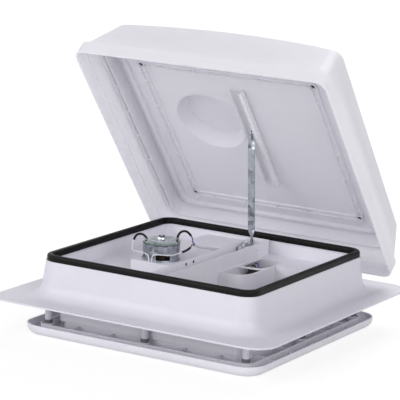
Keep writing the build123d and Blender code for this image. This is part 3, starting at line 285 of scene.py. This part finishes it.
# The nodes that have each look
FINISH = {
    "roof_white": ("base_flange", "clamp_posts"),
    "inner_white": (
        "inner_tub", "lift_channel", "control_console", "fan_shroud", "motor_plate", "interior_trim",
        "screen_frame", "cable_clip", "hinge_brackets", "crank_knob", "switch_strap",
    ),
    "lid_white": ("lid_dome", "hinge_knuckles"),
    "liner_white": ("lid_liner", "slide_track"),
    "black_rubber": ("collar_gasket",),
    "washer_rubber": ("clamp_washers",),
    "fan_grey": ("fan_impeller",),
    "black_plastic": ("switch_body", "switch_rocker", "connector_block"),
    "black_sleeving": ("black_sleeves",),
    "white_insulation": ("white_leads",),
    "blue_insulation": ("blue_lead",),
    "red_insulation": ("red_lead",),
    "grey_insulation": ("grey_cable",),
    "nylon": ("track_roller", "shaft_bush"),
    "mesh_grey": ("insect_screen",),
    "galvanised": ("motor_can", "lift_arm"),
    "bright_steel": ("motor_shaft", "roller_pin", "arm_pin", "hinge_pins"),
    "cap_steel": ("motor_cap",),
    "rail_steel": ("track_rail",),
    "gear_steel": ("arm_gear", "worm_shaft"),
    "dark_screw": ("plate_screws", "lid_screws"),
    "zinc_screw": ("clamp_screws",),
    "armature_iron": ("motor_armature",),
    "tinned_brass": ("motor_terminals",),
    "nut_steel": ("shaft_nut",),
}


def middle(node, height):
    """The middle of a node's box as seen from above, at a height."""
    low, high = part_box(node)
    return ((low[0] + high[0]) / 2, (low[1] + high[1]) / 2, height)


motor_axis = middle("motor_can", 0)


def moulded(name, base, roughness=0.45, mottle=0.05, specular=0.5, grain=900, depth=0.00003, edge=0.0,
            through=0.0):
    """Moulded plastic or rubber: faint flow mottling, a fine grain and soft changes of its gloss."""
    material = bpy.data.materials.new(name)
    add = node_adder(material)
    place = add("ShaderNodeTexCoord").outputs["Object"]
    clouds = noise(add, place, scale=9.0, detail=4.0)
    flow = add("ShaderNodeMapping", {"Vector": place, "Scale": (1.0, 4.0, 1.0)}).outputs[0]
    streaks = noise(add, flow, scale=28.0, detail=5.0)
    both = add("ShaderNodeMath", {0: clouds, 1: streaks}, operation="ADD").outputs[0]
    share = spread(add, both, 0.0, 1.0, start=0.8, end=1.2)
    paint = color_mix(add, share, tone(base, 1 - mottle), tone(base, 1 + mottle))
    gloss = spread(add, noise(add, place, scale=14.0, detail=2.0), roughness - 0.02, roughness + 0.04)
    normal = surface_relief(add, place, grain, depth, edge)
    shader = add("ShaderNodeBsdfPrincipled", {
        "Base Color": paint, "Roughness": gloss, "Normal": normal, "Specular IOR Level": specular,
    })
    surface = shader.outputs[0]
    if through:
        clear = add("ShaderNodeBsdfTranslucent", {"Color": MILKY_LIGHT, "Normal": normal})
        surface = add("ShaderNodeMixShader", {0: through, 1: surface, 2: clear.outputs[0]}).outputs[0]
    add("ShaderNodeOutputMaterial", {"Surface": surface})
    return material


def zinc_sheet(name, base, roughness, spangle, scale, tint=None, tint_radius=None, pale=None,
               pale_height=None):
    """Plated steel: crystal spangles and dull patches, and for some a tinted rim or a pale lower end."""
    material = bpy.data.materials.new(name)
    add = node_adder(material)
    place = add("ShaderNodeTexCoord").outputs["Object"]
    crystals = add("ShaderNodeTexVoronoi", {"Vector": place, "Scale": scale, "Randomness": 1.0})
    cell = add("ShaderNodeSeparateColor", {0: crystals.outputs["Color"]}).outputs[0]
    dull = noise(add, place, scale=35.0, detail=5.0)
    both = add("ShaderNodeMath", {0: cell, 1: dull}, operation="MULTIPLY").outputs[0]
    share = spread(add, both, 0.0, 1.0, start=0.1, end=0.6)
    paint = color_mix(add, share, tone(base, 1 - spangle), tone(base, 1 + spangle))
    gloss = spread(add, cell, roughness - 0.08, roughness + 0.1, start=0.0, end=1.0)
    normal = surface_relief(add, place, grain=700, depth=0.00002, edge=0.0003)
    metal = 1.0
    if tint:
        flat = add("ShaderNodeVectorMath", {0: place, 1: (1, 1, 0)}, operation="MULTIPLY").outputs[0]
        away = add("ShaderNodeVectorMath", {0: flat, 1: motor_axis}, operation="DISTANCE").outputs["Value"]
        rim = spread(add, away, 0.0, TINT_SHARE, tint_radius - TINT_FADE, tint_radius)
        paint = color_mix(add, rim, paint, tint)
    if pale:
        height = add("ShaderNodeSeparateXYZ", {0: place}).outputs["Z"]
        metal = spread(add, height, 0.0, 1.0, pale_height - PALE_FADE, pale_height + PALE_FADE)
        paint = color_mix(add, metal, pale, paint)
    shader = add("ShaderNodeBsdfPrincipled", {
        "Base Color": paint, "Roughness": gloss, "Normal": normal, "Metallic": metal,
    })
    add("ShaderNodeOutputMaterial", {"Surface": shader.outputs[0]})
    return material


materials = {name: moulded(name, **look) for name, look in PLASTICS.items()}
materials.update({name: zinc_sheet(name, **look) for name, look in METALS.items()})


def paint_nodes():
    """Gives each node of the frame its material."""
    for key, members in FINISH.items():
        for member in members:
            for slot in nodes[member].material_slots:
                slot.material = materials[key]


# Pieces and their shapes
SHARP_ANGLE = math.radians(32)
ROUND_SEGMENTS = 48
SMALL_SEGMENTS = 24


def add_piece(name, data, key, slot, body, *replaced):
    """An object that rides on a body, with its material and the nodes that it stands for; its slot is not
    used.
    """
    data.materials.append(materials[key])
    piece = bpy.data.objects.new(name, data)
    bpy.context.scene.collection.objects.link(piece)
    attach(piece, body)
    for node in replaced:
        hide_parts(node)


def soft_lines(name, routes, radius):
    """Round leads along smooth lines through given routes, all in millimetres."""
    data = bpy.data.curves.new(name, "CURVE")
    data.dimensions = "3D"
    data.bevel_depth = radius * MM
    data.bevel_resolution = 4
    data.resolution_u = 12
    data.use_fill_caps = True
    for route in routes:
        spline = data.splines.new("NURBS")
        spline.points.add(len(route) - 1)
        for point, place in zip(spline.points, route):
            point.co = (place[0] * MM, place[1] * MM, place[2] * MM, 1)
        spline.order_u = 3
        spline.use_endpoint_u = True
    return data


def mesh_from(name, build):
    """A mesh that a function fills through bmesh, with smooth faces and sharp edges kept."""
    shape = bmesh.new()
    build(shape)
    bmesh.ops.recalc_face_normals(shape, faces=shape.faces)
    for face in shape.faces:
        face.smooth = True
    for edge in shape.edges:
        if len(edge.link_faces) == 2 and edge.calc_face_angle() > SHARP_ANGLE:
            edge.smooth = False
    mesh = bpy.data.meshes.new(name)
    shape.to_mesh(mesh)
    shape.free()
    return mesh


def turn_to(axis):
    """The rotation that takes straight up to an axis."""
    return Vector(UP).rotation_difference(Vector(axis)).to_matrix()


def lathe(shape, outline, place, axis, segments):
    """Turns an outline of (radius, height) pairs in millimetres about an axis."""
    turn = turn_to(axis)
    rings = []
    for radius, height in outline:
        if radius == 0:
            rings.append([shape.verts.new(Vector(place) + turn @ Vector((0, 0, height * MM)))])
            continue
        ring = []
        for index in range(segments):
            angle = 2 * math.pi * index / segments
            local = Vector((radius * math.cos(angle), radius * math.sin(angle), height)) * MM
            ring.append(shape.verts.new(Vector(place) + turn @ local))
        rings.append(ring)
    for low, high in zip(rings, rings[1:]):
        for index in range(segments):
            after = (index + 1) % segments
            corners = (
                low[index % len(low)], low[after % len(low)],
                high[after % len(high)], high[index % len(high)],
            )
            unique = list(dict.fromkeys(corners))
            if len(unique) > 2:
                shape.faces.new(unique)


# Screws: sizes in millimetres, head and shank as radii; apart tells one screw from the next
LID_OPEN_ANGLE = math.radians(50.73)
LID_INWARD = (0, -math.sin(LID_OPEN_ANGLE), -math.cos(LID_OPEN_ANGLE))
SCREWS = {
    "lid_screws": {
        "body": "lid", "key": "dark_screw", "axis": LID_INWARD, "apart": 20,
        "head": 4.5, "height": 2.0, "shank": 1.9, "length": 15.7,
        "recess": 2.6, "recess_width": 1.3, "recess_depth": 1.2,
    },
    "plate_screws": {
        "body": "base", "key": "dark_screw", "axis": UP, "apart": 10,
        "head": 3.4, "height": 2.0, "shank": 1.5, "length": 3.0,
        "recess": 2.2, "recess_width": 1.1, "recess_depth": 1.1,
    },
    "clamp_screws": {
        "body": "base", "key": "zinc_screw", "axis": DOWN, "apart": 20,
        "head": 3.8, "height": 2.1, "shank": 1.9, "length": 24.0,
        "recess": 2.4, "recess_width": 1.2, "recess_depth": 1.3,
    },
}
SCREW_SEGMENTS = 32
HEAD_STEPS = 4
HEAD_ROUNDING = 0.45
HEAD_DOME = 0.75
RECESS_ABOVE = 1
RECESS_TOP = 1.1
RECESS_FLOOR = 0.7


def screw_outline(head, height, shank, length):
    """A pan head with a rounded edge, and its shank; the head's top is at zero."""
    outline = [(0, 0)]
    for step in range(HEAD_STEPS + 1):
        angle = math.radians(90 - step * 90 / HEAD_STEPS)
        radius = head * (1 - HEAD_ROUNDING + HEAD_ROUNDING * math.cos(angle))
        outline.append((radius, height * HEAD_DOME * (math.sin(angle) - 1)))
    return outline + [(head, -height), (shank, -height), (shank, -height - length), (0, -height - length)]


def cross_cutter(shape, place, axis, reach, width, depth):
    """The two crossing bars of a recess, wider at the top and narrower at the bottom."""
    turn = turn_to(axis)
    for quarter in (0, 1):
        corners = []
        for height, share in ((RECESS_ABOVE, RECESS_TOP), (-depth, RECESS_FLOOR)):
            for along, across in ((-1, -1), (1, -1), (1, 1), (-1, 1)):
                local = Vector((along * reach * share, across * width / 2 * share, height))
                if quarter:
                    local = Vector((-local.y, local.x, local.z))
                corners.append(shape.verts.new(Vector(place) + turn @ (local * MM)))
        for face in ((3, 2, 1, 0), (4, 5, 6, 7), (0, 1, 5, 4), (1, 2, 6, 5), (2, 3, 7, 6), (3, 0, 4, 7)):
            shape.faces.new([corners[index] for index in face])


def recessed_screws(name, places, screw):
    """Screws at their places, each with a cross recess cut into its head."""
    outline = screw_outline(screw["head"], screw["height"], screw["shank"], screw["length"])

    def build_screws(shape):
        for place in places:
            lathe(shape, outline, place, screw["axis"], SCREW_SEGMENTS)

    def build_cutters(shape):
        for place in places:
            sizes = (screw["recess"], screw["recess_width"], screw["recess_depth"])
            cross_cutter(shape, place, screw["axis"], *sizes)

    screws = bpy.data.objects.new(name, mesh_from(name, build_screws))
    cutters = bpy.data.objects.new(name + "_cutters", mesh_from(name + "_cutters", build_cutters))
    for item in (screws, cutters):
        bpy.context.scene.collection.objects.link(item)
    cut = screws.modifiers.new("recess", "BOOLEAN")
    cut.operation = "DIFFERENCE"
    cut.solver = "EXACT"
    cut.use_self = True
    cut.object = cutters
    bpy.context.view_layer.update()
    result = bpy.data.meshes.new_from_object(screws.evaluated_get(bpy.context.evaluated_depsgraph_get()))
    for item in (screws, cutters):
        bpy.data.objects.remove(item)
    result.name = name
    return result


def head_places(node, axis, apart):
    """Where each screw of a node has the top of its head, from the node's own mesh."""
    axis = Vector(axis).normalized()
    groups = []
    for vertex in nodes[node].data.vertices:
        height = vertex.co.dot(axis)
        flat = vertex.co - axis * height
        for group in groups:
            if (group[0][0] - flat).length < apart:
                group.append((flat, height))
                break
        else:
            groups.append([(flat, height)])
    places = []
    for group in groups:
        low = Vector([min(flat[index] for flat, height in group) for index in range(3)])
        high = Vector([max(flat[index] for flat, height in group) for index in range(3)])
        centre = (low + high) / 2
        places.append(centre - axis * centre.dot(axis) + axis * max(height for flat, height in group))
    return places


def add_screws():
    """Screws with cross recesses in place of the plain ones."""
    for node, screw in SCREWS.items():
        name = node + "_cut"
        mesh = recessed_screws(name, head_places(node, screw["axis"], screw["apart"] * MM), screw)
        add_piece(name, mesh, screw["key"], screw["key"], screw["body"], node)


# The motor's leads, each along its own route in millimetres
LEFT_SLEEVE = [(-89, -46, 89), (-92.7, -47.3, 94.3), (-100.5, -49.6, 96), (-107.5, -51.6, 92),
               (-109.7, -52.4, 84.6)]
LEFT_WHITE = [(-109.7, -52.4, 84.6), (-112.6, -53.455, 74.845), (-109, -56.5, 66.5), (-97, -60.5, 68.5),
              (-83, -65.4, 68.5), (-70.6, -66.6, 66.8), (-70.6, -66.6, 55.5)]
RIGHT_SLEEVE = [(-52, -8, 89.5), (-48.5, -9, 97.5), (-41.5, -7, 102), (-35, -2.5, 100.5), (-31.5, 1, 94)]
BLUE_LEAD = [(-31.5, 1, 94), (-29.05, 3.45, 89.45), (-29.25, 3.8, 81.08), (-28.31, 9.09, 78.4)]
RED_LEAD = [(-28.49, 8.11, 76.4), (-29.57, 2, 79.49), (-26.2, -4.7, 77.1), (-26.1, -9.5, 75.5)]
LOW_SLEEVE = [(-26.1, -9.5, 75.5), (-25.93, -17.66, 72.78), (-31.3, -26, 70.2)]
FRONT_WHITE = [(-31.3, -26, 70.2), (-35.06, -31.84, 68.39), (-38, -48, 67), (-47.5, -60.8, 69),
               (-57, -67.3, 69.5), (-65.2, -66.6, 66.5), (-65.2, -66.6, 55.5)]
# Leads of the switch and its connector in the pocket
NAVY_LEAD = [(24.8, 128, 32), (31, 121, 35.5), (40, 111, 36), (46, 100, 33), (46.5, 92, 27)]
BLACK_LEAD = [(24.8, 118, 30), (30, 113, 33.5), (37, 106, 33.5), (41, 99, 30), (42, 91, 25)]
SWITCH_BLACK_LEAD = [(54, 80, 27), (58, 70, 26), (55, 60, 10), (48, 57, -16)]
SWITCH_BROWN_LEAD = [(38, 76, 27), (35, 66, 27), (37, 58, 12), (44, 57, -16)]
LEADS = {
    "sleeving": {
        "routes": (LEFT_SLEEVE, RIGHT_SLEEVE, LOW_SLEEVE), "radius": 2.0,
        "key": "black_sleeving", "slot": "black_sleeving", "replaced": ("black_sleeves",),
    },
    "white_pair": {
        "routes": (LEFT_WHITE, FRONT_WHITE), "radius": 1.0,
        "key": "white_insulation", "slot": "white_insulation", "replaced": ("white_leads",),
    },
    "blue_wire": {
        "routes": (BLUE_LEAD,), "radius": 1.0,
        "key": "blue_insulation", "slot": "blue_insulation", "replaced": ("blue_lead",),
    },
    "red_wire": {
        "routes": (RED_LEAD,), "radius": 1.0,
        "key": "red_insulation", "slot": "red_insulation", "replaced": ("red_lead",),
    },
    "navy_wire": {
        "routes": (NAVY_LEAD,), "radius": 1.3,
        "key": "blue_insulation", "slot": "blue_insulation", "replaced": (),
    },
    "black_wires": {
        "routes": (BLACK_LEAD, SWITCH_BLACK_LEAD), "radius": 1.3,
        "key": "black_sleeving", "slot": "black_sleeving", "replaced": (),
    },
    "brown_wire": {
        "routes": (SWITCH_BROWN_LEAD,), "radius": 1.2,
        "key": "brown_insulation", "slot": "red_insulation", "replaced": (),
    },
}


def add_leads():
    """Sleeving and leads, as thick as the photograph shows them."""
    for name, lead in LEADS.items():
        data = soft_lines(name, lead["routes"], lead["radius"])
        add_piece(name, data, lead["key"], lead["slot"], "base", *lead["replaced"])


# Strap across the pocket, in millimetres
STRAP_LEVEL = 36.4
STRAP_WIDTH = 4.6
STRAP_THICKNESS = 3.0
STRAP_ROUTE = [(24.3, 71.5), (36, 74), (49, 75.8), (59, 77.6), (65.2, 83.5), (66.4, 92), (67.6, 99)]
PATH_STEPS = 8
CORNER_STEPS = 3
CORNER_SHARE = 0.35


def smooth_path(points):
    """Points along a smooth line through given places in millimetres."""
    places = [Vector(point) * MM for point in points]
    places = [2 * places[0] - places[1]] + places + [2 * places[-1] - places[-2]]
    path = []
    for one, two, three, four in zip(places, places[1:], places[2:], places[3:]):
        slope = three - one
        bend = 2 * one - 5 * two + 4 * three - four
        twist = 3 * two - 3 * three + four - one
        for step in range(PATH_STEPS):
            share = step / PATH_STEPS
            path.append(0.5 * (2 * two + slope * share + bend * share ** 2 + twist * share ** 3))
    return path + [places[-2]]


def ribbon(shape, path, width, height):
    """A flat strap with rounded edges along a path."""
    corner = height * CORNER_SHARE
    outline = []
    for side, level, first in ((1, 1, 0), (-1, 1, 90), (-1, -1, 180), (1, -1, 270)):
        for step in range(CORNER_STEPS + 1):
            angle = math.radians(first + step * 90 / CORNER_STEPS)
            across = side * (width / 2 - corner) + corner * math.cos(angle)
            up = level * (height / 2 - corner) + corner * math.sin(angle)
            outline.append((across * MM, up * MM))
    rings = []
    for index, place in enumerate(path):
        ahead = path[min(index + 1, len(path) - 1)] - path[max(index - 1, 0)]
        side = Vector((ahead.y, -ahead.x, 0)).normalized()
        level = side.cross(ahead.normalized())
        rings.append([shape.verts.new(place + side * across + level * up) for across, up in outline])
    for low, high in zip(rings, rings[1:]):
        for index in range(len(outline)):
            after = (index + 1) % len(outline)
            shape.faces.new([low[index], low[after], high[after], high[index]])
    shape.faces.new(rings[0])
    shape.faces.new(list(reversed(rings[-1])))


def add_strap():
    """The bowed white strap across the pocket, in place of the straight one."""
    path = smooth_path([(x, y, STRAP_LEVEL) for x, y in STRAP_ROUTE])
    mesh = mesh_from("bowed_strap", lambda shape: ribbon(shape, path, STRAP_WIDTH, STRAP_THICKNESS))
    add_piece("bowed_strap", mesh, "inner_white", "white_plastic", "base", "switch_strap")


# Turned details: outlines of (radius, height) pairs and places, in millimetres
CLIP_FOOT = [(0, 0), (6.4, 0), (6.5, 1.6), (6.1, 2.7), (5.4, 3.0), (4.9, 2.6), (4.4, 1.9), (3.4, 1.8),
             (3.0, 2.2), (2.9, 5.2), (2.5, 5.8), (1.5, 5.9), (1.4, 4.6), (0, 4.6)]
CLIP_PIN = [(0, 4.6), (1.4, 4.6), (1.4, 5.3), (0.9, 5.6), (0, 5.7)]
RIVET_HEAD = [(0, 1.0), (1.2, 0.9), (2.1, 0.5), (2.5, 0), (0, 0)]
RIVET_ROW = (-49, -25)
RIVET_HEIGHT = 57.5
CHANNEL_LEDGE = 13.0
CHANNEL_WALL = 1.8
# The thin ring under the motor's cap is painted dark as the shadow under the cap's rim
SHADOW_RING_OUTLINE = [(31.0, -0.5), (31.35, -0.3), (31.45, 0), (31.35, 0.3), (31.0, 0.5)]
SHADOW_RING_BELOW_CAP = 1.2
SHADOW_RING_SEGMENTS = 72


def add_clip():
    """The cable's round clip: a dished foot, a ring and a dark pin in its middle."""
    place = middle("cable_clip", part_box("cable_clip")[0][2])
    mesh = mesh_from("round_clip", lambda shape: lathe(shape, CLIP_FOOT, place, UP, ROUND_SEGMENTS))
    add_piece("round_clip", mesh, "nylon", "clip_plastic", "base", "cable_clip")
    mesh = mesh_from("clip_pin", lambda shape: lathe(shape, CLIP_PIN, place, UP, SMALL_SEGMENTS))
    add_piece("clip_pin", mesh, "dark_screw", "dark_screw", "base")


def add_wall_rivets():
    """Two dark rivet heads on the inner face of the channel's left wall."""
    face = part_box("lift_channel")[0][0] + (CHANNEL_LEDGE + CHANNEL_WALL) * MM

    def build(shape):
        for y in RIVET_ROW:
            lathe(shape, RIVET_HEAD, (face, y * MM, RIVET_HEIGHT * MM), (1, 0, 0), SMALL_SEGMENTS)

    add_piece("wall_rivets", mesh_from("wall_rivets", build), "dark_screw", "dark_screw", "base")


def add_cap_shadow_ring():
    """A thin dark ring under the motor's cap, whose dark colour is painted shadow under the cap's rim."""
    cap_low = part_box("motor_cap")[0][2]
    place = (motor_axis[0], motor_axis[1], cap_low - SHADOW_RING_BELOW_CAP * MM)
    mesh = mesh_from("cap_shadow_ring", lambda shape: lathe(shape, SHADOW_RING_OUTLINE, place, UP, SHADOW_RING_SEGMENTS))
    # The dark screw material paints the shadow under the cap's rim here
    add_piece("cap_shadow_ring", mesh, "dark_screw", "galvanised_steel", "base")


# Fine net, in millimetres: the distance between its wires, their width and the room around the pocket
NET_PITCH = 3
NET_WIRE = 0.32
NET_CLEAR = 4


def net_lines(low, high, gap_low, gap_high, along):
    """The wires that run along one direction: each one's place across it, its start and its end."""
    across = 1 - along
    room = high[across] - low[across]
    count = int(room / (NET_PITCH * MM))
    lines = []
    for index in range(count):
        place = low[across] + (index + 0.5) * room / count
        if gap_low[across] < place < gap_high[across]:
            lines.append((place, low[along], gap_low[along]))
            lines.append((place, gap_high[along], high[along]))
        else:
            lines.append((place, low[along], high[along]))
    return lines


def flat_strip(shape, x0, x1, y0, y1, height):
    """A flat level rectangle between two corners."""
    shape.faces.new([shape.verts.new((x, y, height)) for x, y in ((x0, y0), (x1, y0), (x1, y1), (x0, y1))])


def add_net():
    """The fine insect net that the coarse wires carry, with its opening around the pocket."""
    low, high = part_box("insect_screen")
    pocket_low, pocket_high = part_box("control_console")
    gap_low = [value - NET_CLEAR * MM for value in pocket_low]
    gap_high = [value + NET_CLEAR * MM for value in pocket_high]
    level = (low[2] + high[2]) / 2
    half = NET_WIRE / 2 * MM

    def build(shape):
        for y, start, end in net_lines(low, high, gap_low, gap_high, 0):
            flat_strip(shape, start, end, y - half, y + half, level + half / 2)
        for x, start, end in net_lines(low, high, gap_low, gap_high, 1):
            flat_strip(shape, x - half, x + half, start, end, level - half / 2)

    add_piece("fine_net", mesh_from("fine_net", build), "mesh_grey", "screen_mesh", "base")


add_camera()
add_world()
add_floor()
add_lamps()
bpy.context.scene.view_settings.view_transform = "Standard"
paint_nodes()
add_screws()
add_leads()
add_strap()
add_clip()
add_wall_rivets()
add_cap_shadow_ring()
add_net()
